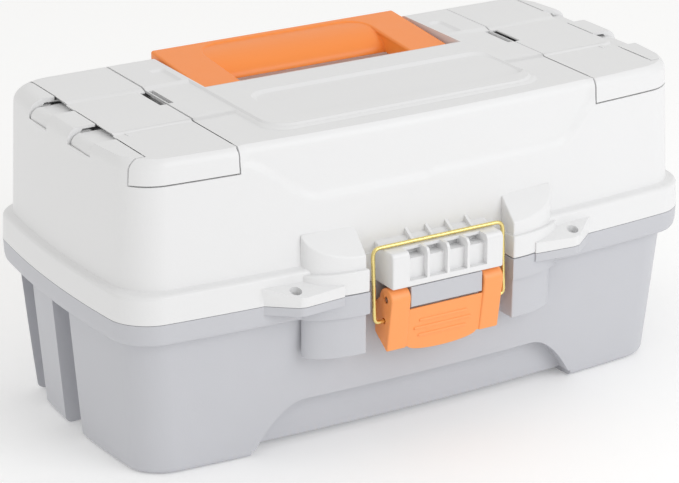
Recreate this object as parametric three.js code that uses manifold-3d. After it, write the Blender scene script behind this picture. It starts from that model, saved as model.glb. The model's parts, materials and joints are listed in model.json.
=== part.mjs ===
// Fishing tackle box with one cantilever tray, two lid-top doors, a fold-flat carry handle
// and a lever latch with a wire bail. Millimetres, +Z up, front face towards -Y.
// Every piece is drawn about the middle of the body; the finished group is then moved so
// that the origin lies on the floor under the middle of the whole box.
import * as THREE from 'three';
import { mergeVertices } from 'three/addons/utils/BufferGeometryUtils.js';
import Module from 'manifold-3d';

const wasm = await Module();
wasm.setup();

// ---------------------------------------------------------------- driving dimensions
const halfLength = 175.2;     // outline at the seam between base and lid, at its corners
const halfDepth = 83.3;
const cornerRadius = 18.5;
const frontBow = 9.6;         // how far the front bulges at its middle
const endBow = 5.9;           // how far each end bulges at its middle
const seamHeight = 91.3;
const lidHeight = 87.2;       // from the seam to the top of the lid
const lidTop = seamHeight + lidHeight;
const wall = 2.6;
const gap = 0.3;              // between pieces that touch
const past = 1;               // how far a cutting tool runs beyond the surface it opens

// base
const bandHeight = 12.2;      // the rim band that stands proud of the walls
const bandStep = 6.4;         // inset of the wall just under the band
const floorInset = 12;        // inset of the wall at the floor
const footEdge = 3;           // rounded lower edge
const undersideLift = 4;      // the middle of the box stands clear of the ground
const footReach = 104;        // feet start this far from the middle
const archHeight = 29;        // recessed toe panel between the front feet
const archDepth = 8;
const rimWidth = 8;           // top rim of the base, from outside to inside
const slotDepth = 13;         // open channels in the ends
const slotWidth = 21;
const slotMiddles = [3.5, 52];

// lid
const shoulder = seamHeight + 15.7;         // where the lid flange rounds over into the wall
const lidWallInset = 4.6;
const lidUpperInset = 7.2;
const wellDepth = 31;         // storage wells under the doors
const doorSeam = 110.3;       // from the middle to a door's inner edge
const doorSeamGap = 0.8;
const skirtDrop = 16;         // a door's front and rear skirts hang this far below the top
const doorAxisInset = 8.7;    // from the end of the outline to the door hinge axis
const doorAxisDrop = 9.5;
const barrelRadius = 5.5;
const barrelInner = 13;       // hinge barrels lie between these distances from the middle
const barrelOuter = 36;
const doorCorner = 68;        // beyond this the skirt wraps the corner
const uprightDepth = 9.5;     // the lid's hinge posts, from the axis inwards
const pinRadius = 1.5;
const notchWidth = 24;        // finger notch at a door's inner edge
const notchReach = 4;
const notchDepth = 5;
const bandEdges = [-28, 27];  // stepped bands across the doors and rails
const bandSlope = 1.2;

// handle
const handleHalfWidth = 79;
const handleArm = 25;
const handleRear = 78.5;
const handleRearTop = lidTop + 1.9;
const handleThickness = 9;
const handleAxis = { y: 21, z: lidTop - 9.2 };
const handleEnd = 6;
const gripDepth = 33;
const gripWall = 4;
const recessSide = 2.5;       // room beside the handle
const recessEnd = 1.1;        // room in front of the handle's hinge end
const recessDepth = 19;
const handlePinRadius = 2.5;

// shallow label panel on the plateau in front of the handle
const labelHalf = 78;
const labelFront = -58;
const labelDepth = 1.4;

// piers: curved bulges beside the latch, from low on the base to high on the lid
const pier = { inner: 46, outer: 78, back: 85, reach: 98.5,
  low: seamHeight - 35.3, high: seamHeight + 31.7, shoulder: seamHeight + 16.7 };
const pierBand = 2;           // the rim band and lid flange stand this much proud of the piers
const channelBack = 88;       // flat back of the channel between the piers
const ear = { inner: 60, front: 88, outer: 104, reach: 102, back: 88, height: 10, slope: 5, base: 4.6 };
const padlockHole = { x: 86.8, y: -95.6, radius: 3.3 };

// latch
const latchHalfWidth = 35;
const latchAxis = { y: -99.6, z: seamHeight - 7 };
const earRadius = 6.3;
const earWidth = 12;
const leverLow = latchAxis.z - 29.5;
const leverTab = 3;
const leverTabHalf = 21;
const leverLean = 4.5;        // the lever's lower edge lies nearer the box than its ears
const leverBack = 88.6;
const leverSkin = 3.4;
const plateEdge = 1.2;        // the lever's plate thins to this at its top edge
const plateSweep = 6.8;       // radius that the top edge keeps clear of
const gripHeights = [6.1, 10.7, 15.1];   // above the lever's lower edge
const bailPin = { y: -97.8, z: latchAxis.z - 12.5 };
const bailTop = { y: -95.5, z: seamHeight + 21.1 };
const bailHalfWidth = 40.6;
const wireRadius = 1.1;
const catchHalfWidth = 34.5;
const catchFront = 105.9;
const catchFoot = 3.3;
const pocketDepth = 3.4;
const ribWidth = 1.6;
const ribPitch = 12.5;
const gussetRise = 6.4;
const gussetShift = 2.5;

// rear hinge
const hingeAxis = { y: 88.9, z: seamHeight };
const knuckleRadius = 4.8;
const knuckleMiddle = 90;
const knuckleWidth = 30;
const sideKnuckle = 15;
const hingePinRadius = 1.6;

// tray and its parallel arms
const tray = { halfLength: 150, front: -72, rear: 66, low: seamHeight - 7.3, high: seamHeight + 21.7,
  wall: 2.2, corner: 8 };
const trayRib = -3;
const dividerStep = 72;
const dividerThickness = 1.8;
const lidArm = { y: -48, z: 12 };      // from the rear hinge axis to the tray's lid pin
const armOffset = { y: -30, z: -5.5 };   // from that line to the parallel swing arm
const armWidth = 9;
const armThickness = 3;
const armGap = 4.5;                    // between the tray's end and the arm
const trayPinRadius = 2.2;
const runClearance = 0.45;             // radial room round a turning pin

// ---------------------------------------------------------------- shared shapes
const white = 0xf0efec;
const gray = 0xc4c6cb;
const orange = 0xff9a50;
const clear = 0xe4e6e8;
const brass = 0xd8bc62;
const steel = 0xb9bcc0;

function finish(name, shape, color, roughness = 0.55, metalness = 0) {
  const raw = shape.getMesh();
  const geometry = new THREE.BufferGeometry();
  geometry.setAttribute('position', new THREE.BufferAttribute(raw.vertProperties, 3));
  geometry.setIndex(new THREE.BufferAttribute(raw.triVerts, 1));
  const material = new THREE.MeshStandardMaterial({ color, roughness, metalness });
  const mesh = new THREE.Mesh(geometry, material);
  mesh.name = name;
  return mesh;
}

function solid(geometry) {
  geometry.deleteAttribute('normal');
  geometry.deleteAttribute('uv');
  const merged = mergeVertices(geometry, 1e-4);
  return new wasm.Manifold(new wasm.Mesh({
    numProp: 3,
    vertProperties: merged.attributes.position.array,
    triVerts: merged.index.array,
  }));
}

function box(low, high) {
  const geometry = new THREE.BoxGeometry(high[0] - low[0], high[1] - low[1], high[2] - low[2]);
  geometry.translate((low[0] + high[0]) / 2, (low[1] + high[1]) / 2, (low[2] + high[2]) / 2);
  return solid(geometry);
}

// A box given for the right-hand side is mirrored for the left-hand one.
function sideBox(side, low, high) {
  const ends = [side * low[0], side * high[0]].sort((p, q) => p - q);
  return box([ends[0], low[1], low[2]], [ends[1], high[1], high[2]]);
}

function prism(points, depth) {
  const shape = new THREE.Shape(points.map(([u, v]) => new THREE.Vector2(u, v)));
  return new THREE.ExtrudeGeometry(shape, { depth, bevelEnabled: false });
}

// A (y, z) outline swept along X.
function prismX(points, x0, x1) {
  const geometry = prism(points, x1 - x0);
  geometry.applyMatrix4(new THREE.Matrix4().makeBasis(
    new THREE.Vector3(0, 1, 0), new THREE.Vector3(0, 0, 1), new THREE.Vector3(1, 0, 0)));
  return solid(geometry.translate(x0, 0, 0));
}

// An (x, z) outline swept along Y.
function prismY(points, y0, y1) {
  const geometry = prism(points, y1 - y0);
  geometry.rotateX(Math.PI / 2);
  return solid(geometry.translate(0, y1, 0));
}

// An (x, y) outline swept along Z.
function prismZ(points, z0, z1) {
  return solid(prism(points, z1 - z0).translate(0, 0, z0));
}

function rodX(place, radius, x0, x1, segments = 16) {
  const geometry = new THREE.CylinderGeometry(radius, radius, x1 - x0, segments);
  geometry.rotateZ(Math.PI / 2);
  return solid(geometry.translate((x0 + x1) / 2, place.y, place.z));
}

function rodY(x, z, radius, y0, y1, segments = 16) {
  const geometry = new THREE.CylinderGeometry(radius, radius, y1 - y0, segments);
  return solid(geometry.translate(x, (y0 + y1) / 2, z));
}

function rodZ(x, y, radius, z0, z1, segments = 16) {
  const geometry = new THREE.CylinderGeometry(radius, radius, z1 - z0, segments);
  geometry.rotateX(Math.PI / 2);
  return solid(geometry.translate(x, y, (z0 + z1) / 2));
}

// The plan outline: a rounded rectangle whose front and ends are gently bowed.
function planOutline() {
  const arcSteps = 6;
  const middle = [halfLength - cornerRadius, halfDepth - cornerRadius];
  const corners = [[1, 1, 0], [-1, 1, 1], [-1, -1, 2], [1, -1, 3]];
  const straights = [9, 4, 9, 4];
  const points = [];
  corners.forEach(([sx, sy, quarter], k) => {
    for (let i = 0; i <= arcSteps; i += 1) {
      const angle = (quarter + i / arcSteps) * Math.PI / 2;
      points.push([sx * middle[0] + cornerRadius * Math.cos(angle),
        sy * middle[1] + cornerRadius * Math.sin(angle)]);
    }
    const from = points[points.length - 1];
    const [nx, ny, next] = corners[(k + 1) % 4];
    const start = next * Math.PI / 2;
    const to = [nx * middle[0] + cornerRadius * Math.cos(start),
      ny * middle[1] + cornerRadius * Math.sin(start)];
    for (let i = 1; i < straights[k]; i += 1) {
      const t = i / straights[k];
      points.push([from[0] + (to[0] - from[0]) * t, from[1] + (to[1] - from[1]) * t]);
    }
  });
  return points.map(([x, y]) => {
    const frontShare = Math.min(Math.max(-y / middle[1], 0), 1);
    const endShare = Math.min(Math.abs(x) / middle[0], 1);
    return [x + Math.sign(x) * endBow * (1 - (y / halfDepth) ** 2) * endShare,
      y - frontBow * (1 - (x / halfLength) ** 2) * frontShare];
  });
}

// The outline stacked at [inset, height] levels, which gives walls their draft and roundings.
function drafted(levels) {
  const shape = new THREE.Shape(planOutline().map(([x, y]) => new THREE.Vector2(x, y)));
  const steps = levels.length - 1;
  const geometry = new THREE.ExtrudeGeometry(shape, { depth: steps, steps, bevelEnabled: false });
  const place = geometry.attributes.position;
  for (let i = 0; i < place.count; i += 1) {
    const [inset, height] = levels[Math.round(place.getZ(i))];
    place.setXYZ(i, place.getX(i) * (1 - inset / halfLength),
      place.getY(i) * (1 - inset / halfDepth), height);
  }
  return solid(geometry);
}

function union(parts) {
  return parts.reduce((whole, part) => whole.add(part));
}

// The plan of one pier: a quarter ellipse that swells towards the latch.
function pierPlan(side, grow) {
  const steps = 7;
  const width = pier.outer - pier.inner + 2.5 * grow;
  const reach = pier.reach - pier.back + grow;
  const points = [[pier.inner - grow / 2, -pier.back]];
  for (let i = 0; i <= steps; i += 1) {
    const angle = (i / steps) * Math.PI / 2;
    points.push([pier.inner - grow / 2 + width * Math.sin(angle), -pier.back - reach * Math.cos(angle)]);
  }
  const placed = points.map(([x, y]) => [side * x, y]);
  return side > 0 ? placed : placed.reverse();
}

// The plan of one padlock ear, which runs out from the pier's face.
function earPlan(side) {
  const points = [[ear.inner, -ear.back], [ear.inner, -ear.reach + 2], [ear.front - 4, -ear.reach],
    [ear.front, -ear.reach + 1], [ear.outer, -ear.back]];
  const placed = points.map(([x, y]) => [side * x, y]);
  return side > 0 ? placed : placed.reverse();
}

const sides = [['right', 1], ['left', -1]];
const lowSeam = seamHeight - gap / 2;
const highSeam = seamHeight + gap / 2;
const bandLow = seamHeight - bandHeight;

// ---------------------------------------------------------------- base tub
function baseTub() {
  const skin = [[floorInset + 1.4, 0], [floorInset, footEdge], [bandStep, bandLow - 0.6],
    [1.2, bandLow + 0.4], [0.3, bandLow + 4], [0, lowSeam]];
  const hollow = [[floorInset + wall, undersideLift + wall],
    [bandStep + wall, bandLow], [rimWidth, lowSeam + past]];
  const outer = drafted(skin);
  const shell = outer.subtract(drafted(hollow));

  // channels in the ends, with liners that keep the tub closed behind them
  const innerFace = halfLength - floorInset + endBow - slotDepth;
  const slots = [];
  const liners = [];
  sides.forEach(([, side]) => slotMiddles.forEach((middle) => {
    const y0 = middle - slotWidth / 2;
    const y1 = middle + slotWidth / 2;
    slots.push(sideBox(side, [innerFace, y0, -past], [halfLength + 2 * endBow, y1, bandLow]));
    liners.push(sideBox(side, [innerFace - wall, y0 - wall, undersideLift],
      [halfLength + 2 * endBow, y1 + wall, bandLow + wall - 1]));
  }));

  // recessed toe panel between the front feet
  const archEnd = 32;
  const archTop = new THREE.SplineCurve([
    new THREE.Vector2(footReach, -past), new THREE.Vector2(footReach - 9, 13),
    new THREE.Vector2(footReach - archEnd * 0.6, 25), new THREE.Vector2(footReach - archEnd, archHeight),
  ]).getPoints(8).map((p) => [p.x, p.y]);
  const archLeft = archTop.map(([x, z]) => [-x, z]).reverse();
  const toeInset = [floorInset + archDepth, floorInset + archDepth - 3];
  const archPrism = prismY([...archTop, ...archLeft], -halfDepth - 2 * frontBow, 0);
  const arch = archPrism.subtract(drafted([[toeInset[0], -2 * past], [toeInset[1], seamHeight]]));
  const widen = 1 + wall / archHeight;
  const archLiner = archPrism.scale([(footReach + wall) / footReach, 1, widen]).intersect(outer)
    .subtract(drafted([[toeInset[0] + wall, undersideLift + wall], [toeInset[1] + wall, seamHeight]]));
  const underside = box([-footReach + 1, -halfDepth, -past], [footReach - 1, halfDepth, undersideLift]);

  // piers beside the latch with the padlock ears above them, and the flat channel between
  const piers = sides.flatMap(([, side]) => [prismZ(pierPlan(side, 0), pier.low, bandLow + 1),
    prismZ(pierPlan(side, pierBand), bandLow, lowSeam),
    prismZ(earPlan(side), lowSeam - ear.base, lowSeam)]);
  const keep = drafted([[floorInset + wall - 1, 0], [bandStep + wall - 1, bandLow], [rimWidth, lowSeam]]);
  const channelHalf = pier.inner - pierBand / 2;
  const channel = box([-channelHalf, -2 * halfDepth, bandLow - past],
    [channelHalf, -channelBack, lowSeam + past]);
  const holes = sides.map(([, side]) => rodZ(side * padlockHole.x, padlockHole.y,
    padlockHole.radius, lowSeam - ear.base - past, lowSeam + past));

  // latch tongue, rounded below so that the lever's top edge can swing past it
  const tongueHalf = latchHalfWidth - earWidth - gap - 0.5;
  const tongueFront = latchAxis.y - 4.8;
  const block = box([-tongueHalf, tongueFront, bandLow - 0.4],
    [tongueHalf, -halfDepth + past, lowSeam - 0.6]);
  const swept = box([-tongueHalf - past, tongueFront - past, bandLow - past],
    [tongueHalf + past, latchAxis.y, latchAxis.z])
    .subtract(rodX(latchAxis, plateSweep, -halfLength, halfLength, 32));
  const tongue = block.subtract(swept);
  const pinHole = rodX(latchAxis, pinRadius + gap, -tongueHalf - past, tongueHalf + past);

  // rear hinge knuckles
  const knuckles = sides.map(([, side]) => {
    const x0 = Math.min(side * (knuckleMiddle - knuckleWidth / 2), side * (knuckleMiddle + knuckleWidth / 2));
    const web = box([x0, halfDepth - rimWidth / 2, seamHeight - knuckleRadius],
      [x0 + knuckleWidth, hingeAxis.y, lowSeam]);
    return rodX(hingeAxis, knuckleRadius, x0, x0 + knuckleWidth).add(web)
      .subtract(rodX(hingeAxis, hingePinRadius + gap, x0 - past, x0 + knuckleWidth + past));
  });

  // bosses that carry the swing arms
  const bosses = sides.map(([, side]) => {
    const pivot = armPivot();
    const face = tray.halfLength + armGap + armThickness + gap;
    const block = sideBox(side, [face, pivot.y - 5, bandLow - 4],
      [halfLength - rimWidth / 2, pivot.y + 5, pivot.z + 5]);
    return block.subtract(rodX(pivot, trayPinRadius + gap, -halfLength, halfLength));
  });

  const front = union([...piers, tongue]).subtract(keep);
  const closedSlots = liners.map((liner) => liner.intersect(outer));
  return union([shell.subtract(channel), archLiner, ...closedSlots, front, ...knuckles, ...bosses])
    .subtract(union([...slots, arch, underside, ...holes, pinHole]));
}

// ---------------------------------------------------------------- lid and doors
function armPivot() {
  return { y: hingeAxis.y + armOffset.y, z: hingeAxis.z + armOffset.z };
}

function lidPinPlace() {
  return { y: hingeAxis.y + lidArm.y, z: hingeAxis.z + lidArm.z };
}

function trayPinPlace() {
  return { y: hingeAxis.y + lidArm.y + armOffset.y, z: hingeAxis.z + lidArm.z + armOffset.z };
}

const doorAxis = { x: halfLength - doorAxisInset, z: lidTop - doorAxisDrop };
const skirtLow = lidTop - skirtDrop;

function lidOuter() {
  return drafted([[0, highSeam], [0.5, shoulder - 5], [1.9, shoulder - 1.2], [lidWallInset, shoulder + 3],
    [lidUpperInset, skirtLow], [lidUpperInset + 0.5, lidTop - 8.5], [lidUpperInset + 1.9, lidTop - 4.6],
    [lidUpperInset + 4.6, lidTop - 1.7], [lidUpperInset + 8.5, lidTop]]);
}

function lidInner() {
  return drafted([[rimWidth, highSeam - past], [rimWidth, shoulder - 2], [lidWallInset + wall, shoulder + 6],
    [lidUpperInset + wall, skirtLow], [lidUpperInset + wall + 1.9, lidTop - 4.6 - wall],
    [lidUpperInset + wall + 6, lidTop - wall]]);
}

// The space a door takes out of the lid; room is negative for the door itself.
function doorZone(side, room) {
  const high = lidTop + 2 * past;
  const far = halfLength + 2 * endBow;
  const post = doorAxis.x - uprightDepth;
  const cover = sideBox(side, [doorSeam - room, -2 * halfDepth, skirtLow - room],
    [far, 2 * halfDepth, high]);
  const posts = sideBox(side, [post + room, -doorCorner + room, skirtLow - 2 * past],
    [far, doorCorner - room, high]);
  const barrels = [-1, 1].flatMap((end) => {
    const ys = [end * (barrelInner - room), end * (barrelOuter + room)].sort((p, q) => p - q);
    return [sideBox(side, [post - past, ys[0], doorAxis.z], [far, ys[1], high]),
      sideBox(side, [post - past, ys[0], doorAxis.z - barrelRadius - room], [doorAxis.x, ys[1], high]),
      rodY(side * doorAxis.x, doorAxis.z, barrelRadius + room, ys[0], ys[1], 24)];
  });
  return union([cover.subtract(posts), ...barrels]);
}

// Shallow steps that divide the doors and rails into three bands, the front one lowest.
function bandSteps() {
  const reach = halfLength + 2 * endBow;
  const cuts = bandEdges.map((edge, k) => {
    const depth = bandSlope * (bandEdges.length - k);
    const rear = edge;
    return prismX([[-2 * halfDepth, lidTop - depth], [rear - 3 * bandSlope, lidTop - depth],
      [rear, lidTop + past], [-2 * halfDepth, lidTop + past]], -reach, reach);
  });
  const rail = handleHalfWidth + recessSide;
  return union(cuts).subtract(box([-rail, -2 * halfDepth, 0], [rail, 2 * halfDepth, 2 * lidTop]));
}

function lidShell() {
  const outer = lidOuter().subtract(bandSteps());
  const shell = outer.subtract(lidInner());

  // wells under the doors, and the recess under the handle
  const wellFloor = lidTop - wellDepth - wall - 2;
  const far = halfLength + 2 * endBow;
  const wells = sides.map(([, side]) => {
    const tub = sideBox(side, [doorSeam - 2 * wall, -2 * halfDepth, wellFloor], [far, 2 * halfDepth, lidTop]);
    const hollow = sideBox(side, [doorSeam - wall, -2 * halfDepth, wellFloor + wall],
      [far, 2 * halfDepth, 2 * lidTop]);
    return tub.subtract(hollow);
  });
  const recessFront = handleAxis.y - handleEnd - recessEnd;
  const recessHalf = handleHalfWidth + recessSide;
  const recessFloor = lidTop - recessDepth;
  const recess = box([-recessHalf, recessFront, recessFloor], [recessHalf, 2 * halfDepth, 2 * lidTop]);
  const recessTub = box([-recessHalf - wall, recessFront - wall, recessFloor - wall],
    [recessHalf + wall, 2 * halfDepth, lidTop]);

  // hinge posts at the ends
  const postEdge = doorAxis.x - uprightDepth;
  const posts = sides.flatMap(([, side]) => [[-doorCorner, -barrelOuter], [-barrelInner, barrelInner],
    [barrelOuter, doorCorner]].map(([y0, y1]) => sideBox(side,
    [postEdge + wall, y0, skirtLow - 12], [far, y1, doorAxis.z + barrelRadius])));

  // hoods over the piers, and padlock ears whose upper faces slope forward
  const hoodSlope = prismX([[-pier.reach - 3, pier.shoulder], [-channelBack, pier.high],
    [-channelBack, pier.high + 40], [-pier.reach - 3, pier.high + 40]], -halfLength, halfLength);
  const hoods = sides.flatMap(([, side]) => [
    prismZ(pierPlan(side, 0), shoulder - 4, pier.high + 1).subtract(hoodSlope),
    prismZ(pierPlan(side, pierBand), highSeam, shoulder - 4)]);
  const earSlope = prismX([[-ear.reach - past, highSeam + ear.height - ear.slope],
    [-ear.back, highSeam + ear.height], [-ear.back, 2 * lidTop], [-ear.reach - past, 2 * lidTop]],
  -halfLength, halfLength);
  const ears = sides.map(([, side]) => prismZ(earPlan(side), highSeam, highSeam + ear.height)
    .subtract(earSlope));
  const padlocks = sides.map(([, side]) => rodZ(side * padlockHole.x, padlockHole.y,
    padlockHole.radius, highSeam - past, highSeam + ear.height + past));
  const channelHalf = pier.inner - pierBand / 2;
  const channel = box([-channelHalf, -2 * halfDepth, highSeam - past],
    [channelHalf, -channelBack, shoulder + 8]);

  // catch block: pockets between thin ribs, an open ledge for the bail, gussets behind it
  const ledge = bailTop.z - wireRadius - gap;
  const behind = bailTop.y + wireRadius + gap;
  const block = prismX([[-catchFront, highSeam], [-halfDepth, highSeam], [-halfDepth, ledge + 2],
    [-channelBack, ledge + 2], [behind, ledge], [-catchFront + 1.6, ledge],
    [-catchFront, ledge - 2.5]], -catchHalfWidth, catchHalfWidth);
  const pockets = [-1.5, -0.5, 0.5, 1.5].map((k) => box(
    [(k - 0.5) * ribPitch + ribWidth / 2, -catchFront - past, highSeam + catchFoot],
    [(k + 0.5) * ribPitch - ribWidth / 2, -catchFront + pocketDepth, ledge + past]));
  const holesUnderWire = [-1.5, -0.5, 0.5, 1.5].flatMap((k) => {
    const low = (k - 0.5) * ribPitch + ribWidth / 2;
    const high = (k + 0.5) * ribPitch - ribWidth / 2;
    return [box([low, -catchFront, ledge - 5], [high, bailTop.y - 2.5, ledge + past]),
      box([low, -catchFront, ledge - 5], [high, behind - 0.5, ledge - 1.8])];
  });
  const gussets = [-1, 0, 1, 2].map((k) => prismX([[behind, ledge], [-halfDepth, ledge],
    [-halfDepth, ledge + gussetRise], [-channelBack + 2, ledge + gussetRise], [behind, ledge + 1.6]],
  k * ribPitch - gussetShift - ribWidth / 2, k * ribPitch - gussetShift + ribWidth / 2));
  const latchCatch = union([block, ...gussets]).subtract(union([...pockets, ...holesUnderWire]));

  // rear hinge knuckles
  const knuckles = sides.flatMap(([, side]) => [-1, 1].map((end) => {
    const middle = side * knuckleMiddle + end * (knuckleWidth / 2 + gap + sideKnuckle / 2);
    const x0 = middle - sideKnuckle / 2;
    const web = box([x0, halfDepth - rimWidth / 2, highSeam],
      [x0 + sideKnuckle, hingeAxis.y, seamHeight + knuckleRadius]);
    return rodX(hingeAxis, knuckleRadius, x0, x0 + sideKnuckle).add(web)
      .subtract(rodX(hingeAxis, hingePinRadius + runClearance, x0 - past, x0 + sideKnuckle + past));
  }));

  // lugs that hang down to the tray's lid pins
  const pin = lidPinPlace();
  const lugs = sides.map(([, side]) => sideBox(side,
    [tray.halfLength + armGap + armThickness + gap + 0.5, pin.y - 6, pin.z - 6],
    [halfLength - rimWidth / 2, pin.y + 6, pin.z + 12])
    .subtract(rodX(pin, trayPinRadius + gap, -halfLength, halfLength)));

  // shallow label panel on the plateau
  const label = prismZ([[-labelHalf, labelFront], [labelHalf - 8, labelFront], [labelHalf, labelFront + 8],
    [labelHalf, recessFront - 14], [-labelHalf, recessFront - 14]], lidTop - labelDepth, lidTop + past);

  const front = union([...hoods, ...ears, latchCatch]).subtract(lidInner());
  const inside = union([...wells, recessTub, ...posts]).intersect(outer);
  const finger = sides.map(([, side]) => sideBox(side, [doorSeam - notchReach, -2, lidTop - notchDepth],
    [doorSeam + past, notchWidth - 2, 2 * lidTop]));
  const doorHoles = sides.map(([, side]) => rodY(side * doorAxis.x, doorAxis.z, pinRadius + gap,
    -doorCorner + 4, doorCorner - 4));
  const handleHoles = rodX(handleAxis, handlePinRadius + gap, -recessHalf - 3 * wall, recessHalf + 3 * wall);
  return union([shell.subtract(channel), inside, front, ...knuckles, ...lugs])
    .subtract(union([...sides.map(([, side]) => doorZone(side, doorSeamGap / 2)), recess, ...finger,
      ...doorHoles, ...padlocks, handleHoles, label]));
}

function door(side) {
  const zone = doorZone(side, -doorSeamGap / 2);
  const skin = lidOuter().subtract(bandSteps()).subtract(lidInner()).intersect(zone);
  const barrels = [-1, 1].map((end) => {
    const ys = [end * (barrelInner + doorSeamGap / 2), end * (barrelOuter - doorSeamGap / 2)]
      .sort((p, q) => p - q);
    const web = sideBox(side, [doorAxis.x - 2 * uprightDepth, ys[0], doorAxis.z + barrelRadius - wall],
      [doorAxis.x, ys[1], doorAxis.z + barrelRadius]);
    const riser = sideBox(side, [doorAxis.x - 2 * uprightDepth, ys[0], doorAxis.z + barrelRadius - wall],
      [doorAxis.x - 2 * uprightDepth + wall, ys[1], lidTop - wall + 0.5]);
    return rodY(side * doorAxis.x, doorAxis.z, barrelRadius, ys[0], ys[1], 24).add(web).add(riser);
  });
  const far = halfLength + 2 * endBow;
  // the skin outside the hinge axis is trimmed so that it can turn
  const outside = sideBox(side, [doorAxis.x, -doorCorner, 0], [far, doorCorner, 2 * lidTop]);
  const hidden = sideBox(side, [doorAxis.x - uprightDepth, -doorCorner, 0],
    [far, doorCorner, doorAxis.z - 1]);
  const bore = rodY(side * doorAxis.x, doorAxis.z, pinRadius + runClearance, -barrelOuter, barrelOuter);
  const swing = rodY(side * doorAxis.x, doorAxis.z, doorAxis.z - skirtLow - 0.3,
    -2 * halfDepth, 2 * halfDepth, 32);
  const tipTrim = sideBox(side, [doorAxis.x, -2 * halfDepth, 0], [far, 2 * halfDepth, 2 * lidTop])
    .subtract(swing);
  // the edge beside the posts is undercut in each band, so that it swings up past their corners
  const bands = [-doorCorner, ...bandEdges, doorCorner];
  const undercuts = bands.slice(1).map((edge, k) => {
    const rise = lidTop - bandSlope * (bandEdges.length - k) - doorAxis.z;
    const reach = Math.hypot(uprightDepth - doorSeamGap / 2, rise) + gap;
    return rodY(side * doorAxis.x, doorAxis.z, reach, bands[k], edge, 48)
      .intersect(sideBox(side, [doorAxis.x - 2 * uprightDepth, -halfDepth, doorAxis.z],
        [doorAxis.x, halfDepth, lidTop]));
  });
  const finger = sideBox(side, [doorSeam - past, -2, lidTop - notchDepth],
    [doorSeam + notchReach, notchWidth - 2, 2 * lidTop]);
  const cover = skin.subtract(union([outside, hidden, tipTrim, ...undercuts]));
  return union([cover, ...barrels])
    .subtract(bore).subtract(finger);
}

function doorPin(side) {
  return rodY(side * doorAxis.x, doorAxis.z, pinRadius, -doorCorner + 6, doorCorner - 6);
}

// ---------------------------------------------------------------- handle
function carryHandle() {
  const tilt = Math.atan2(handleRearTop - handleEnd - handleAxis.z, handleRear - handleAxis.y);
  const rise = Math.tan(tilt);
  const top = (y) => handleAxis.z + handleEnd + (y - handleAxis.y) * rise;
  const arms = sides.map(([, side]) => {
    const x = [side * handleHalfWidth, side * (handleHalfWidth - handleArm)].sort((p, q) => p - q);
    const plate = prismX([[handleAxis.y, handleAxis.z - handleEnd],
      [handleRear, top(handleRear) - handleThickness],
      [handleRear, top(handleRear)], [handleAxis.y, top(handleAxis.y)]], x[0], x[1]);
    const bore = rodX(handleAxis, handlePinRadius + runClearance,
      -handleHalfWidth - past, handleHalfWidth + past);
    return rodX(handleAxis, handleEnd, x[0], x[1]).add(plate).subtract(bore);
  });
  // the grip is a rolled skin: flat along its rear edge and curving down to the finger gap
  const gripCurve = (offset) => Array.from({ length: 9 }, (_, i) => {
    const turn = (i / 8) * Math.PI / 2;
    const reach = gripDepth - 6 - offset;
    const drop = handleThickness + 3 - offset;
    return [handleRear - 6 - reach * Math.sin(turn),
      top(handleRear - 6) - offset - drop * (1 - Math.cos(turn))];
  });
  const skin = [[handleRear, top(handleRear)], ...gripCurve(0), ...gripCurve(gripWall).reverse(),
    [handleRear - gripWall, top(handleRear) - gripWall],
    [handleRear - gripWall, top(handleRear) - handleThickness],
    [handleRear, top(handleRear) - handleThickness]];
  const inner = handleHalfWidth - handleArm + past;
  return union([...arms, prismX(skin.reverse(), -inner, inner)]);
}

function handlePin(side) {
  const ends = [side * (handleHalfWidth - 9), side * (handleHalfWidth + recessSide + 2 * wall)]
    .sort((p, q) => p - q);
  return rodX(handleAxis, handlePinRadius, ends[0], ends[1]);
}

// ---------------------------------------------------------------- latch
function latchLever() {
  const front = latchAxis.y - earRadius;
  const lowFront = front + leverLean;
  const tongueRoom = latchHalfWidth - earWidth;
  const cheeks = sides.map(([, side]) => {
    const x = [side * latchHalfWidth, side * tongueRoom].sort((p, q) => p - q);
    const cheek = prismX([[front, latchAxis.z], [lowFront, leverLow + 1], [lowFront + 1, leverLow],
      [-leverBack, leverLow + 8], [-leverBack, latchAxis.z - 4],
      [latchAxis.y + earRadius, latchAxis.z + 1]], x[0], x[1]);
    return cheek.add(rodX(latchAxis, earRadius, x[0], x[1]));
  });
  const plateTop = bandLow - 1.2;
  const share = (z) => lowFront - leverLean * (z - leverLow) / (latchAxis.z - leverLow);
  const plate = prismX([[share(leverLow) + 0.8, leverLow], [share(leverLow) + 0.8 + leverSkin, leverLow],
    [share(plateTop) + 0.8 + leverSkin, plateTop - leverSkin],
    [share(plateTop) + 0.8 + plateEdge, plateTop], [share(plateTop) + 0.8, plateTop]],
  -tongueRoom - past, tongueRoom + past);
  const grips = gripHeights.map((rise, k) => rodX({ y: share(leverLow + rise) + 1, z: leverLow + rise },
    0.9, -15 - 3 * (k % 2), 15 + 3 * (k % 2), 8));
  const tab = prismX([[lowFront + 1, leverLow + 2], [lowFront - 0.6, leverLow - leverTab],
    [lowFront + 2, leverLow - leverTab], [lowFront + 4, leverLow + 2]], -leverTabHalf, leverTabHalf);
  const pocket = box([-latchHalfWidth + leverSkin, -leverBack - 11, leverLow - leverTab],
    [latchHalfWidth - leverSkin, -leverBack + past, latchAxis.z - earRadius - 0.6]);
  const bailHole = rodX(bailPin, wireRadius + runClearance,
    -latchHalfWidth - past, latchHalfWidth + past, 12);
  const pivot = rodX(latchAxis, pinRadius + runClearance, -latchHalfWidth - past, latchHalfWidth + past);
  return union([...cheeks, plate, ...grips, tab]).subtract(union([pocket, bailHole, pivot]));
}

function latchPin() {
  return rodX(latchAxis, pinRadius, -latchHalfWidth + 0.5, latchHalfWidth - 0.5);
}

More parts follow.
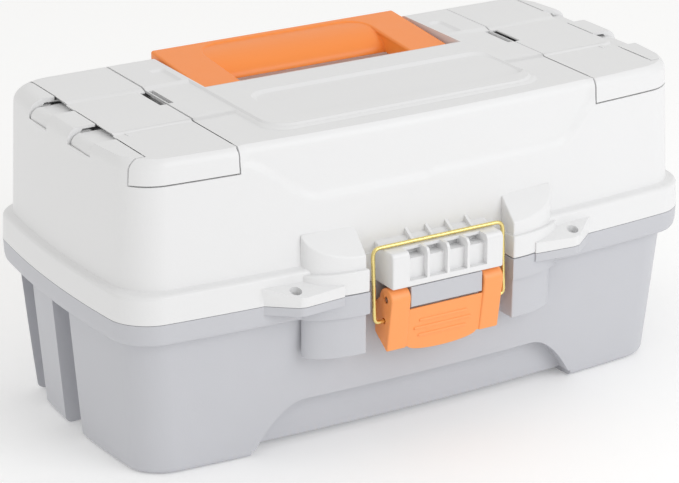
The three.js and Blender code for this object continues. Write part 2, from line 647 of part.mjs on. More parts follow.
// One bent wire: up each side from a hooked end in the lever and across the catch.
function latchBail() {
  const low = new THREE.Vector3(bailHalfWidth, bailPin.y, bailPin.z);
  const high = new THREE.Vector3(bailHalfWidth, bailTop.y, bailTop.z);
  const bend = 4;
  const hook = 3;
  const path = new THREE.CurvePath();
  const rise = high.clone().sub(low).normalize();
  const across = new THREE.Vector3(1, 0, 0);
  const mirror = (p) => new THREE.Vector3(-p.x, p.y, p.z);
  const tip = low.clone().addScaledVector(across, latchHalfWidth - leverSkin - bailHalfWidth + 1);
  const hookIn = low.clone().addScaledVector(across, -hook);
  const hookUp = low.clone().addScaledVector(rise, hook);
  const topSide = high.clone().addScaledVector(rise, -bend);
  const topIn = high.clone().addScaledVector(across, -bend);
  path.add(new THREE.LineCurve3(tip, hookIn));
  path.add(new THREE.QuadraticBezierCurve3(hookIn, low, hookUp));
  path.add(new THREE.LineCurve3(hookUp, topSide));
  path.add(new THREE.QuadraticBezierCurve3(topSide, high, topIn));
  path.add(new THREE.LineCurve3(topIn, mirror(topIn)));
  path.add(new THREE.QuadraticBezierCurve3(mirror(topIn), mirror(high), mirror(topSide)));
  path.add(new THREE.LineCurve3(mirror(topSide), mirror(hookUp)));
  path.add(new THREE.QuadraticBezierCurve3(mirror(hookUp), mirror(low), mirror(hookIn)));
  path.add(new THREE.LineCurve3(mirror(hookIn), mirror(tip)));
  const round = new THREE.Shape().absarc(0, 0, wireRadius, 0, 2 * Math.PI);
  const sampled = new THREE.CatmullRomCurve3(path.getPoints(4), false, 'catmullrom', 0);
  return solid(new THREE.ExtrudeGeometry(round, { steps: 80, curveSegments: 4, extrudePath: sampled }));
}

// ---------------------------------------------------------------- tray and arms
function trayOutline(inset) {
  const shape = new THREE.Shape();
  const x = tray.halfLength - inset;
  const y0 = tray.front + inset;
  const y1 = tray.rear - inset;
  const r = tray.corner - inset / 2;
  shape.absarc(x - r, y1 - r, r, 0, Math.PI / 2);
  shape.absarc(-x + r, y1 - r, r, Math.PI / 2, Math.PI);
  shape.absarc(-x + r, y0 + r, r, Math.PI, 1.5 * Math.PI);
  shape.absarc(x - r, y0 + r, r, 1.5 * Math.PI, 2 * Math.PI);
  return shape.getPoints(4).map((p) => [p.x, p.y]);
}

function closed(points) {
  return points.filter(([x, y], i) => {
    const [px, py] = points[(i + points.length - 1) % points.length];
    return Math.hypot(x - px, y - py) > 1e-6;
  });
}

function cantileverTray() {
  const outer = prismZ(closed(trayOutline(0)), tray.low, tray.high);
  const inner = prismZ(closed(trayOutline(tray.wall)), tray.low + tray.wall, tray.high + past);
  const rib = box([-tray.halfLength + 1, trayRib - tray.wall / 2, tray.low],
    [tray.halfLength - 1, trayRib + tray.wall / 2, tray.high - 2]);
  const reach = tray.halfLength + past;
  const pinHoles = [rodX(lidPinPlace(), trayPinRadius + runClearance, -reach, reach),
    rodX(trayPinPlace(), trayPinRadius + gap, -reach, reach)];
  const hole = union(pinHoles).subtract(box([-tray.halfLength + 8, -halfDepth, 0],
    [tray.halfLength - 8, halfDepth, lidTop]));
  return outer.subtract(inner).add(rib).subtract(hole);
}

function divider(column, row) {
  const x = column * dividerStep;
  const span = row > 0 ? [trayRib + tray.wall / 2 + gap, tray.rear - tray.wall - gap]
    : [tray.front + tray.wall + gap, trayRib - tray.wall / 2 - gap];
  return box([x - dividerThickness / 2, span[0], tray.low + tray.wall + gap],
    [x + dividerThickness / 2, span[1], tray.high - 3]);
}

function swingArm(side) {
  const near = tray.halfLength + armGap;
  const ends = [side * near, side * (near + armThickness)].sort((p, q) => p - q);
  const from = armPivot();
  const to = trayPinPlace();
  const length = Math.hypot(to.y - from.y, to.z - from.z);
  const ny = -(to.z - from.z) / length * armWidth / 2;
  const nz = (to.y - from.y) / length * armWidth / 2;
  const bar = [[from.y + ny, from.z + nz], [to.y + ny, to.z + nz], [to.y - ny, to.z - nz],
    [from.y - ny, from.z - nz]];
  return union([prismX(bar, ends[0], ends[1]), rodX(from, armWidth / 2, ends[0], ends[1]),
    rodX(to, armWidth / 2, ends[0], ends[1])])
    .subtract(rodX(from, trayPinRadius + runClearance, ends[0] - past, ends[1] + past))
    .subtract(rodX(to, trayPinRadius + runClearance + gap, ends[0] - past, ends[1] + past));
}

function pinAt(place, radius, side, inner, outer) {
  const ends = [side * inner, side * outer].sort((p, q) => p - q);
  return rodX(place, radius, ends[0], ends[1]);
}

// ---------------------------------------------------------------- assembly
const tackleBox = new THREE.Group();
tackleBox.add(finish('base_tub', baseTub(), gray));
tackleBox.add(finish('lid_shell', lidShell(), white));
tackleBox.add(finish('carry_handle', carryHandle(), orange, 0.45));
tackleBox.add(finish('latch_lever', latchLever(), orange, 0.45));
tackleBox.add(finish('latch_pin', latchPin(), steel, 0.3, 1));
tackleBox.add(finish('latch_bail', latchBail(), brass, 0.25, 1));
tackleBox.add(finish('cantilever_tray', cantileverTray(), clear, 0.4));
[-1, 1].forEach((row, r) => [-1, 0, 1].forEach((column, c) => {
  tackleBox.add(finish(`tray_divider_${3 * r + c + 1}`, divider(column, row), clear, 0.4));
}));
const armFace = tray.halfLength + armGap;
const bossFace = armFace + armThickness + gap;
sides.forEach(([word, side]) => {
  tackleBox.add(finish(`${word}_door`, door(side), white));
  tackleBox.add(finish(`${word}_door_pin`, doorPin(side), steel, 0.3, 1));
  tackleBox.add(finish(`${word}_handle_pin`, handlePin(side), steel, 0.3, 1));
  tackleBox.add(finish(`${word}_swing_arm`, swingArm(side), gray));
  tackleBox.add(finish(`${word}_arm_base_pin`,
    pinAt(armPivot(), trayPinRadius, side, armFace - 1, bossFace + 9), steel, 0.3, 1));
  const inTray = tray.halfLength - tray.wall;
  tackleBox.add(finish(`${word}_arm_tray_pin`,
    pinAt(trayPinPlace(), trayPinRadius, side, inTray, armFace + armThickness), steel, 0.3, 1));
  tackleBox.add(finish(`${word}_tray_lid_pin`,
    pinAt(lidPinPlace(), trayPinRadius, side, inTray, bossFace + 9), steel, 0.3, 1));
  const pinReach = knuckleWidth / 2 + sideKnuckle + gap;
  tackleBox.add(finish(`${word}_hinge_pin`, rodX(hingeAxis, hingePinRadius,
    side * knuckleMiddle - pinReach, side * knuckleMiddle + pinReach), steel, 0.3, 1));
});

const whole = new THREE.Box3().setFromObject(tackleBox);
tackleBox.position.y = -(whole.min.y + whole.max.y) / 2;

export default tackleBox;
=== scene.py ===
import json
import math

import bmesh
import bpy
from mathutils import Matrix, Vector


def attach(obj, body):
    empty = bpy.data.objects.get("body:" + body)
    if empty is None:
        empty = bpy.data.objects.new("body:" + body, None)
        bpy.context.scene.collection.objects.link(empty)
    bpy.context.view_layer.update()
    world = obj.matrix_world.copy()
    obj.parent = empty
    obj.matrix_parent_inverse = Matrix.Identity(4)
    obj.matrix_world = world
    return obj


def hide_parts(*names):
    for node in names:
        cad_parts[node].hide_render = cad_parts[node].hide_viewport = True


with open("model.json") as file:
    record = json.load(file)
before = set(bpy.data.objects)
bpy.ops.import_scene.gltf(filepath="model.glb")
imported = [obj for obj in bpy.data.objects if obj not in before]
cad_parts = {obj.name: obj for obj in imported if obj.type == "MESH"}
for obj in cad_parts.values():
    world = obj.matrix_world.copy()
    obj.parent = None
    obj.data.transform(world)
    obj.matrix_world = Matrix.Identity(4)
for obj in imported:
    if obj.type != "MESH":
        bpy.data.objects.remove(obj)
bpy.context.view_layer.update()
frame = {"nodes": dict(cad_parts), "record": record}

# ------------------------------------------------------------------ base tub
# The grey tub is one deep polypropylene moulding with drafted walls, a proud rim band,
# open channels in both ends and a recessed toe panel. It is lofted from its plan outline
# and cut and joined as solids; sizes are millimetres about the middle of the body.
MM = 0.001
hinge = next(j for j in frame["record"]["behaviour"]["joints"] if j["name"] == "lid_hinge")
HINGE_BACK = 88.9
body_middle = hinge["pos_m"][1] - HINGE_BACK * MM

half_length, half_depth, corner = 175.2, 83.3, 18.5
front_bow, end_bow = 9.6, 5.9
seam, lid_top, wall, gap, past = 91.3, 178.5, 2.6, 0.3, 1.0
low_seam, high_seam = seam - gap / 2, seam + gap / 2
band_low = seam - 12.2
band_inset, floor_inset, rim_width = 6.4, 12.0, 8.0


def metres(x, y, z):
    return Vector((x * MM, y * MM + body_middle, z * MM))


def select_only(piece):
    bpy.ops.object.select_all(action="DESELECT")
    piece.select_set(True)
    bpy.context.view_layer.objects.active = piece


def apply_place(piece):
    select_only(piece)
    bpy.ops.object.transform_apply(location=True, rotation=True, scale=True)
    return piece


def block(low, high):
    bpy.ops.object.select_all(action="DESELECT")
    middle = [(a + b) / 2 for a, b in zip(low, high)]
    bpy.ops.mesh.primitive_cube_add(size=1, location=metres(*middle))
    piece = bpy.context.object
    piece.scale = [abs(b - a) * MM for a, b in zip(low, high)]
    return apply_place(piece)


def side_block(side, low, high):
    ends = sorted((side * low[0], side * high[0]))
    return block((ends[0], low[1], low[2]), (ends[1], high[1], high[2]))


def rod(axis, middle, radius, length, steps=32):
    turn = {"X": (0, math.pi / 2, 0), "Y": (math.pi / 2, 0, 0), "Z": (0, 0, 0)}[axis]
    bpy.ops.object.select_all(action="DESELECT")
    bpy.ops.mesh.primitive_cylinder_add(vertices=steps, radius=radius * MM, depth=length * MM,
                                        location=metres(*middle), rotation=turn)
    return apply_place(bpy.context.object)


def face_from(points, place):
    bpy.ops.object.select_all(action="DESELECT")
    bpy.ops.mesh.primitive_circle_add(vertices=len(points), radius=1, fill_type="NGON")
    piece = bpy.context.object
    for vertex, point in zip(piece.data.vertices, points):
        vertex.co = metres(*place(*point))
    bpy.ops.object.mode_set(mode="EDIT")
    bpy.ops.mesh.select_all(action="SELECT")
    return piece


def face_out():
    bpy.ops.mesh.select_all(action="SELECT")
    bpy.ops.mesh.normals_make_consistent(inside=False)
    bpy.ops.object.mode_set(mode="OBJECT")


def prism(points, axis, low, high):
    places = {"X": lambda u, v: (low, u, v), "Y": lambda u, v: (u, low, v),
              "Z": lambda u, v: (u, v, low)}
    piece = face_from(points, places[axis])
    step = [(high - low) * MM if axis == letter else 0 for letter in "XYZ"]
    bpy.ops.mesh.extrude_region_move(TRANSFORM_OT_translate={"value": step})
    face_out()
    return piece


def plan_outline():
    arc_steps = 16
    inner = (half_length - corner, half_depth - corner)
    corners = ((1, 1), (-1, 1), (-1, -1), (1, -1))
    straights = (24, 14, 116, 14)
    points = []
    for k, (sx, sy) in enumerate(corners):
        for i in range(arc_steps + 1):
            angle = (k + i / arc_steps) * math.pi / 2
            points.append((sx * inner[0] + corner * math.cos(angle),
                           sy * inner[1] + corner * math.sin(angle)))
        nx, ny = corners[(k + 1) % 4]
        turned = (k + 1) * math.pi / 2
        start = points[-1]
        end = (nx * inner[0] + corner * math.cos(turned), ny * inner[1] + corner * math.sin(turned))
        for i in range(1, straights[k]):
            t = i / straights[k]
            points.append((start[0] + (end[0] - start[0]) * t, start[1] + (end[1] - start[1]) * t))
    bowed = []
    for x, y in points:
        front_share = min(max(-y / inner[1], 0), 1)
        end_share = min(abs(x) / inner[0], 1)
        bowed.append((x + math.copysign(end_bow * (1 - (y / half_depth) ** 2) * end_share, x),
                      y - front_bow * (1 - (x / half_length) ** 2) * front_share))
    return bowed


OUTLINE = plan_outline()


def drafted(levels):
    """The plan outline stacked at (inset, height) levels."""
    def scaled(inset):
        return 1 - inset / half_length, 1 - inset / half_depth

    sx, sy = scaled(levels[0][0])
    piece = face_from(OUTLINE, lambda x, y: (x * sx, y * sy, levels[0][1]))
    for (before, low), (after, high) in zip(levels, levels[1:]):
        step = (0, 0, (high - low) * MM)
        bpy.ops.mesh.extrude_region_move(TRANSFORM_OT_translate={"value": step})
        ratio = [b / a for a, b in zip(scaled(before), scaled(after))]
        bpy.ops.transform.resize(value=(*ratio, 1), center_override=metres(0, 0, high))
    face_out()
    return piece


def arc(inset, height, radius, start, end, steps=6):
    """Levels of a rounding whose middle is at (inset, height); 0 degrees faces inwards."""
    return [(inset + radius * math.cos(math.radians(start + (end - start) * i / steps)),
             height + radius * math.sin(math.radians(start + (end - start) * i / steps)))
            for i in range(steps + 1)]


def combine(piece, tools, how):
    select_only(piece)
    for tool in tools:
        change = piece.modifiers.new("solid", "BOOLEAN")
        change.operation = how
        change.solver = "MANIFOLD"
        change.object = tool
        bpy.ops.object.modifier_apply(modifier=change.name)
        bpy.data.objects.remove(tool)
    return piece


def cut(piece, *tools):
    return combine(piece, tools, "DIFFERENCE")


def join(piece, *tools):
    return combine(piece, tools, "UNION")


def common(piece, *tools):
    return combine(piece, tools, "INTERSECT")


def twin(piece):
    copy = piece.copy()
    copy.data = piece.data.copy()
    bpy.context.collection.objects.link(copy)
    return copy


def rounded(piece, width, steps=4, angle=30):
    """Rounds the edges of one plain solid before it is joined to others."""
    select_only(piece)
    bevel = piece.modifiers.new("edges", "BEVEL")
    bevel.width = width * MM
    bevel.segments = steps
    bevel.limit_method = "ANGLE"
    bevel.angle_limit = math.radians(angle)
    bpy.ops.object.modifier_apply(modifier=bevel.name)
    return piece


STRAIGHT = 0.94


def has_room(edge, room):
    """Whether no short edge turns off at either end of this edge."""
    for vertex in edge.verts:
        along = (edge.other_vert(vertex).co - vertex.co).normalized()
        for other in vertex.link_edges:
            length = other.calc_length()
            if other is not edge and length < room:
                turn = along.dot((other.other_vert(vertex).co - vertex.co) / length)
                if abs(turn) < STRAIGHT:
                    return False
    return True


SPECK = 0.003


def soften(piece, width, steps=2, angle=30):
    """Rounds a finished piece's sharp edges where there is room, and smooths its shading."""
    select_only(piece)
    bpy.ops.object.mode_set(mode="EDIT")
    bpy.ops.mesh.select_all(action="SELECT")
    bpy.ops.mesh.quads_convert_to_tris(quad_method="BEAUTY", ngon_method="BEAUTY")
    bpy.ops.mesh.remove_doubles(threshold=SPECK * MM)
    bpy.ops.mesh.dissolve_degenerate(threshold=SPECK * MM)
    bpy.ops.object.mode_set(mode="OBJECT")
    if width:
        mesh = bmesh.new()
        mesh.from_mesh(piece.data)
        weight = mesh.edges.layers.float.new("bevel_weight_edge")
        for edge in mesh.edges:
            if len(edge.link_faces) == 2 and edge.calc_face_angle() > math.radians(angle):
                edge[weight] = has_room(edge, 2.3 * width * MM)
        mesh.to_mesh(piece.data)
        mesh.free()
        bevel = piece.modifiers.new("edges", "BEVEL")
        bevel.width = width * MM
        bevel.segments = steps
        bevel.limit_method = "WEIGHT"
        bevel.use_clamp_overlap = False
        bpy.ops.object.modifier_apply(modifier=bevel.name)
    bpy.ops.object.shade_smooth_by_angle(angle=math.radians(angle + 10))
    even = piece.modifiers.new("even", "WEIGHTED_NORMAL")
    even.keep_sharp = True
    bpy.ops.object.modifier_apply(modifier=even.name)
    return piece


class Value:
    """One socket; an expression on values adds the Math nodes that work it out."""

    def __init__(self, finish, socket):
        self.finish, self.socket = finish, socket

    def maths(self, operation, first, second):
        return self.finish.node("ShaderNodeMath", {"operation": operation}, {0: first, 1: second})

    def __add__(self, other):
        return self.maths("ADD", self, other)

    def __sub__(self, other):
        return self.maths("SUBTRACT", self, other)

    def __rsub__(self, other):
        return self.maths("SUBTRACT", other, self)

    def __mul__(self, other):
        return self.maths("MULTIPLY", self, other)

    __radd__, __rmul__ = __add__, __mul__


class Finish:
    """A material and the nodes that feed its surface."""

    def __init__(self, name):
        self.material = bpy.data.materials.new(name)
        self.material.use_nodes = True
        self.tree = self.material.node_tree
        self.surface = next(n for n in self.tree.nodes if n.type == "BSDF_PRINCIPLED")
        self.place = self.node("ShaderNodeTexCoord", {}, {}, "Object")

    def node(self, kind, settings, inputs, output=0):
        made = self.tree.nodes.new(kind)
        for name, value in settings.items():
            setattr(made, name, value)
        self.fill(made, inputs)
        return Value(self, made.outputs[output])

    def fill(self, made, inputs):
        for name, value in inputs.items():
            if isinstance(value, Value):
                self.tree.links.new(value.socket, made.inputs[name])
            else:
                made.inputs[name].default_value = value

    def noise(self, per_metre, detail=2.0):
        return self.node("ShaderNodeTexNoise", {}, {"Vector": self.place, "Scale": per_metre,
                                                    "Detail": detail}, "Fac")

    def blend(self, share, first, second):
        return self.node("ShaderNodeMix", {"data_type": "RGBA"},
                         {0: share, 6: (*first, 1), 7: (*second, 1)}, 2)


def moulded(name, colour, roughness, grain, depth, spread=0.03):
    """Injection-moulded plastic: spark-eroded grain, slow tone changes and handling marks."""
    finish = Finish(name)
    tone = finish.noise(14, 3)
    cloud = finish.noise(90, 4)
    fine = finish.noise(grain, 2)
    darker = [c * (1 - spread) for c in colour]
    lighter = [min(c * (1 + spread), 1) for c in colour]
    colours = finish.blend(tone * 0.7 + cloud * 0.3, darker, lighter)
    relief = finish.node("ShaderNodeBump", {}, {"Strength": 0.5, "Distance": depth * MM,
                                                "Height": fine + cloud * 0.4})
    finish.fill(finish.surface, {"Base Color": colours, "Normal": relief,
                                 "Roughness": roughness + (cloud - 0.5) * 0.12
                                              + (fine - 0.5) * 0.08,
                                 "IOR": 1.49})
    return finish.material


def wear(piece, material):
    piece.data.materials.clear()
    piece.data.materials.append(material)


PIER = {"inner": 46, "outer": 78, "back": 85, "reach": 98.5, "low": 56, "high": 123,
        "shoulder": 108}
PIER_BAND = 2
CHANNEL_BACK = 88
EAR = {"inner": 60, "front": 88, "outer": 104, "reach": 102, "back": 88, "height": 10, "slope": 5,
       "base": 4.6}
PADLOCK = {"x": 86.8, "y": -95.6, "radius": 3.3}
LEVER_AXIS = (-99.6, 84.3)
LATCH_HALF = 35
LEVER_ARM = 12


def pier_plan(side, grow):
    steps = 24
    width = PIER["outer"] - PIER["inner"] + 2.5 * grow
    reach = PIER["reach"] - PIER["back"] + grow
    inner = PIER["inner"] - grow / 2
    points = [(inner, -PIER["back"])]
    for i in range(steps + 1):
        angle = i / steps * math.pi / 2
        points.append((inner + width * math.sin(angle), -PIER["back"] - reach * math.cos(angle)))
    return [(side * x, y) for x, y in points]


def ear_plan(side):
    points = [(EAR["inner"], -EAR["back"]), (EAR["inner"], -EAR["reach"] + 2),
              (EAR["front"] - 4, -EAR["reach"]), (EAR["front"], -EAR["reach"] + 1),
              (EAR["outer"], -EAR["back"])]
    return [(side * x, y) for x, y in points]


TOE = {"foot": 104, "run": 32, "rise": 30, "set_back": 8}
CHANNEL_MIDDLES, CHANNEL_HALF, CHANNEL_DEPTH = (3.5, 52), 10.5, 13
KNUCKLE, HINGE_X, HINGE_HALF = 4.8, 90, 15
SWING_X, ARM_AXIS, TRAY_AXIS, SWING_END = 160, (58.9, 85.8), (40.9, 103.3), 171.2
BEYOND = 170


def base_tub():
    skin = (arc(floor_inset + 4, 4, 4, 270, 180)
            + [(9.2, 42), (band_inset + 0.3, band_low - 2.2), (band_inset, band_low - 0.6)]
            + [(2.2, band_low), (1.2, band_low + 0.5), (0.7, band_low + 1.6), (0.3, band_low + 4),
               (0, low_seam)])
    piece = drafted(skin)
    outer = twin(piece)
    cut(piece, drafted([(floor_inset + wall, 4 + wall), (band_inset + wall, band_low),
                        (rim_width, low_seam + past)]))
    # channels in the ends, with liners that close the tub behind them
    inner_face = half_length - floor_inset + end_bow - CHANNEL_DEPTH
    slots = []
    for side in (1, -1):
        for middle in CHANNEL_MIDDLES:
            near, far = middle - CHANNEL_HALF, middle + CHANNEL_HALF
            slots.append(side_block(side, (inner_face, near, -past),
                                    (half_length + 12, far, band_low)))
            liner = side_block(side, (inner_face - wall, near - wall, 4),
                               (half_length + 12, far + wall, band_low + wall - 1))
            join(piece, common(liner, twin(outer)))
    # recessed toe panel between the front feet
    top = []
    for i in range(21):
        t = i / 20
        top.append((TOE["foot"] - TOE["run"] * t,
                    -past + TOE["rise"] * math.sin(t ** 0.9 * math.pi / 2)))
    arch_line = top + [(-x, z) for x, z in reversed(top)]
    opening = prism(arch_line, "Y", -110, 0)
    around = [(x + math.copysign(wall, x), z + wall) for x, z in arch_line]
    around = [(around[0][0], -past)] + around + [(around[-1][0], -past)]
    liner = common(prism(around, "Y", -110, 0),
                   drafted([(floor_inset + wall / 2, wall / 2), (band_inset + wall / 2, band_low)]))
    foot_in, head_in = floor_inset + TOE["set_back"], floor_inset + TOE["set_back"] - 3
    cut(opening, drafted([(foot_in, -2), (head_in, seam)]))
    cut(liner, drafted([(foot_in + wall, 4 + wall), (head_in + wall, seam)]))
    join(piece, liner)
    # piers and padlock ears beside the latch, and the tongue the lever turns on
    keep = [(floor_inset + wall - 1, 0), (band_inset + wall - 1, band_low), (rim_width, low_seam)]
    for side in (1, -1):
        for part in (rounded(prism(pier_plan(side, 0), "Z", PIER["low"], band_low + 3), 1.2),
                     prism(pier_plan(side, PIER_BAND), "Z", band_low, low_seam),
                     prism(ear_plan(side), "Z", low_seam - EAR["base"], low_seam)):
            join(piece, cut(part, drafted(keep)))
    channel = PIER["inner"] - PIER_BAND / 2
    cut(piece, block((-channel, -BEYOND, band_low - past),
                     (channel, -CHANNEL_BACK, low_seam + past)))
    tongue_half = LATCH_HALF - LEVER_ARM - gap - 0.5
    tongue_front = LEVER_AXIS[0] - KNUCKLE
    tongue = block((-tongue_half, tongue_front, band_low - 0.4),
                   (tongue_half, -half_depth + past, low_seam - 0.6))
    sweep = block((-tongue_half - past, tongue_front - past, band_low - past),
                  (tongue_half + past, LEVER_AXIS[0], LEVER_AXIS[1]))
    cut(tongue, cut(sweep, rod("X", (0, *LEVER_AXIS), 6.8, 100)), drafted(keep))
    join(piece, tongue)
    cut(piece, rod("X", (0, *LEVER_AXIS), 1.8, 2 * tongue_half + 2))
    # hinge knuckles behind, and the bosses that carry the swing arms
    for side in (1, -1):
        axis = (side * HINGE_X, HINGE_BACK, seam)
        web = side_block(side, (HINGE_X - HINGE_HALF, half_depth - 4, seam - KNUCKLE),
                         (HINGE_X + HINGE_HALF, HINGE_BACK, low_seam))
        join(piece, join(rod("X", axis, KNUCKLE, 2 * HINGE_HALF), web))
        cut(piece, rod("X", axis, 1.9, 2 * HINGE_HALF + 2))
        boss = side_block(side, (SWING_X - 2.2, ARM_AXIS[0] - 5, band_low - 4),
                          (SWING_END, ARM_AXIS[0] + 5, ARM_AXIS[1] + 5))
        join(piece, cut(boss, rod("X", (side * SWING_X, *ARM_AXIS), 2.5, 40)))
    cut(piece, *slots, opening, block((-103, -83.3, -past), (103, 83.3, 4)))
    for side in (1, -1):
        cut(piece, rod("Z", (side * PADLOCK["x"], PADLOCK["y"], low_seam - 2),
                       PADLOCK["radius"], 9))
    bpy.data.objects.remove(outer)
    return piece


tub = soften(base_tub(), 0)
tub.name = "base_tub_shell"
gray_plastic = moulded("gray_moulding", (0.555, 0.56, 0.592), 0.42, 1500, 0.10)
wear(tub, gray_plastic)
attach(tub, "base")
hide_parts("base_tub")

# ------------------------------------------------------------------ lid shell
# The lid is one white moulding: a flange that meets the tub, drafted walls, storage wells
# under the doors, a recess for the handle and the catch that the latch bail lies on.
SHOULDER = 107
WALL_INSET, UPPER_INSET = 4.6, 7.2
SKIRT_LOW = lid_top - 16
DOOR_SEAM, DOOR_GAP = 110.3, 0.8
DOOR_AXIS = (half_length - 8.7, lid_top - 9.5)
BARREL = {"radius": 5.5, "inner": 13, "outer": 36}
DOOR_CORNER, POST_DEPTH = 68, 9.5
NOTCH_FRONT, NOTCH_REAR = -2, 22
HANDLE_HALF, HANDLE_AXIS = 79, (21, 169.3)
STEP_DEPTH, STEP_RUN = 1.2, 3.6
FAR = half_length + 12


def smooth_step(value):
    value = min(max(value, 0), 1)
    return value * value * (3 - 2 * value)


def panel_edge(x):
    """Height of the lower edge of the set-back panel in the lid's front wall."""
    if x > 0:
        return 142.5 + 22 * smooth_step((x - 84) / 30)
    return 141 + 23.5 * smooth_step((-x - 66) / 42)


def lid_outer():
    round_top, wall_foot = 8.5, SHOULDER + 2.4
    wall_rows = 26
    wall_rise = lid_top - round_top - wall_foot
    piece = drafted([(0, high_seam), (0.4, SHOULDER - 5.5)]
                    + arc(3.2, SHOULDER - 3, 2.8, 180, 90)[1:]
                    + [(WALL_INSET + 0.1, SHOULDER + 0.6), (WALL_INSET + 0.35, wall_foot)]
                    + [(WALL_INSET + 0.35 + (UPPER_INSET - WALL_INSET - 0.35) * i / wall_rows,
                        wall_foot + wall_rise * i / wall_rows) for i in range(1, wall_rows)]
                    + arc(UPPER_INSET + round_top, lid_top - round_top, round_top, 180, 90, 10))
    # the front wall between the doors is set back above an S-shaped edge
    for vertex in piece.data.vertices:
        x, y, z = vertex.co.x / MM, (vertex.co.y - body_middle) / MM, vertex.co.z / MM
        if y < -60 and z > 120:
            across = smooth_step((DOOR_SEAM + 2 - abs(x)) / 8)
            above = smooth_step((z - panel_edge(x)) / 4.5)
            vertex.co.y += 1.8 * across * above * smooth_step((lid_top - z) / 3) * MM
    return piece


def lid_inner():
    return drafted([(rim_width, high_seam - past), (rim_width, SHOULDER - 2),
                    (WALL_INSET + wall, SHOULDER + 6), (UPPER_INSET + wall, SKIRT_LOW),
                    (UPPER_INSET + wall + 1.9, lid_top - 4.6 - wall),
                    (UPPER_INSET + wall + 6, lid_top - wall)])


def door_zone(side, room):
    post = DOOR_AXIS[0] - POST_DEPTH
    cover = side_block(side, (DOOR_SEAM - room, -BEYOND, SKIRT_LOW - room),
                       (FAR, BEYOND, lid_top + 2))
    cut(cover, side_block(side, (post + room, -DOOR_CORNER + room, SKIRT_LOW - 2),
                          (FAR + 1, DOOR_CORNER - room, lid_top + 3)))
    for end in (-1, 1):
        near, far = sorted((end * (BARREL["inner"] - room), end * (BARREL["outer"] + room)))
        radius = BARREL["radius"] + room
        middle = (side * DOOR_AXIS[0], (near + far) / 2, DOOR_AXIS[1])
        join(cover, side_block(side, (post - past, near, DOOR_AXIS[1]), (FAR, far, lid_top + 2)),
             side_block(side, (post - past, near, DOOR_AXIS[1] - radius),
                        (DOOR_AXIS[0], far, lid_top + 2)),
             rod("Y", middle, radius, far - near, 48))
    return cover


def sunk(low, high, corner_radius, depth, slope):
    """A tool for a shallow sunk panel with rounded corners and gently sloping edges."""
    points = []
    left, right = low[0] + corner_radius, high[0] - corner_radius
    near, far = low[1] + corner_radius, high[1] - corner_radius
    for k, (x, y) in enumerate(((right, far), (left, far), (left, near), (right, near))):
        for i in range(9):
            angle = (k + i / 8) * math.pi / 2
            points.append((x + corner_radius * math.cos(angle),
                           y + corner_radius * math.sin(angle)))
    centre = [(a + b) / 2 for a, b in zip(low, high)]
    size = [b - a for a, b in zip(low, high)]
    before, done = lid_top + 4, 0
    piece = face_from(points, lambda x, y: (x, y, before))
    for share in (0, 0.15, 0.35, 0.65, 0.85, 1):
        height = lid_top + 0.4 - (depth + 0.4) * smooth_step(share)
        step = (0, 0, (height - before) * MM)
        bpy.ops.mesh.extrude_region_move(TRANSFORM_OT_translate={"value": step})
        ratio = [(length - 2 * slope * share) / (length - 2 * slope * done) for length in size]
        bpy.ops.transform.resize(value=(*ratio, 1), center_override=metres(*centre, height))
        before, done = height, share
    face_out()
    return piece


def band_steps():
    """Tools for the two steps across the top, which stop softly at the raised middle."""
    cuts = []
    for k, edge in enumerate((-28, 27)):
        depth = STEP_DEPTH * (2 - k)
        level = lid_top - depth
        step = prism([(-BEYOND, level), (edge - STEP_RUN, level), (edge, lid_top),
                      (edge, lid_top + 1), (-BEYOND, lid_top + 1)], "X", -FAR, FAR)
        rail = HANDLE_HALF + 2.5
        cuts.append(cut(step, sunk((-rail, -65), (rail, 150), 14, depth + 0.5, -2.6 * depth)))
    return cuts


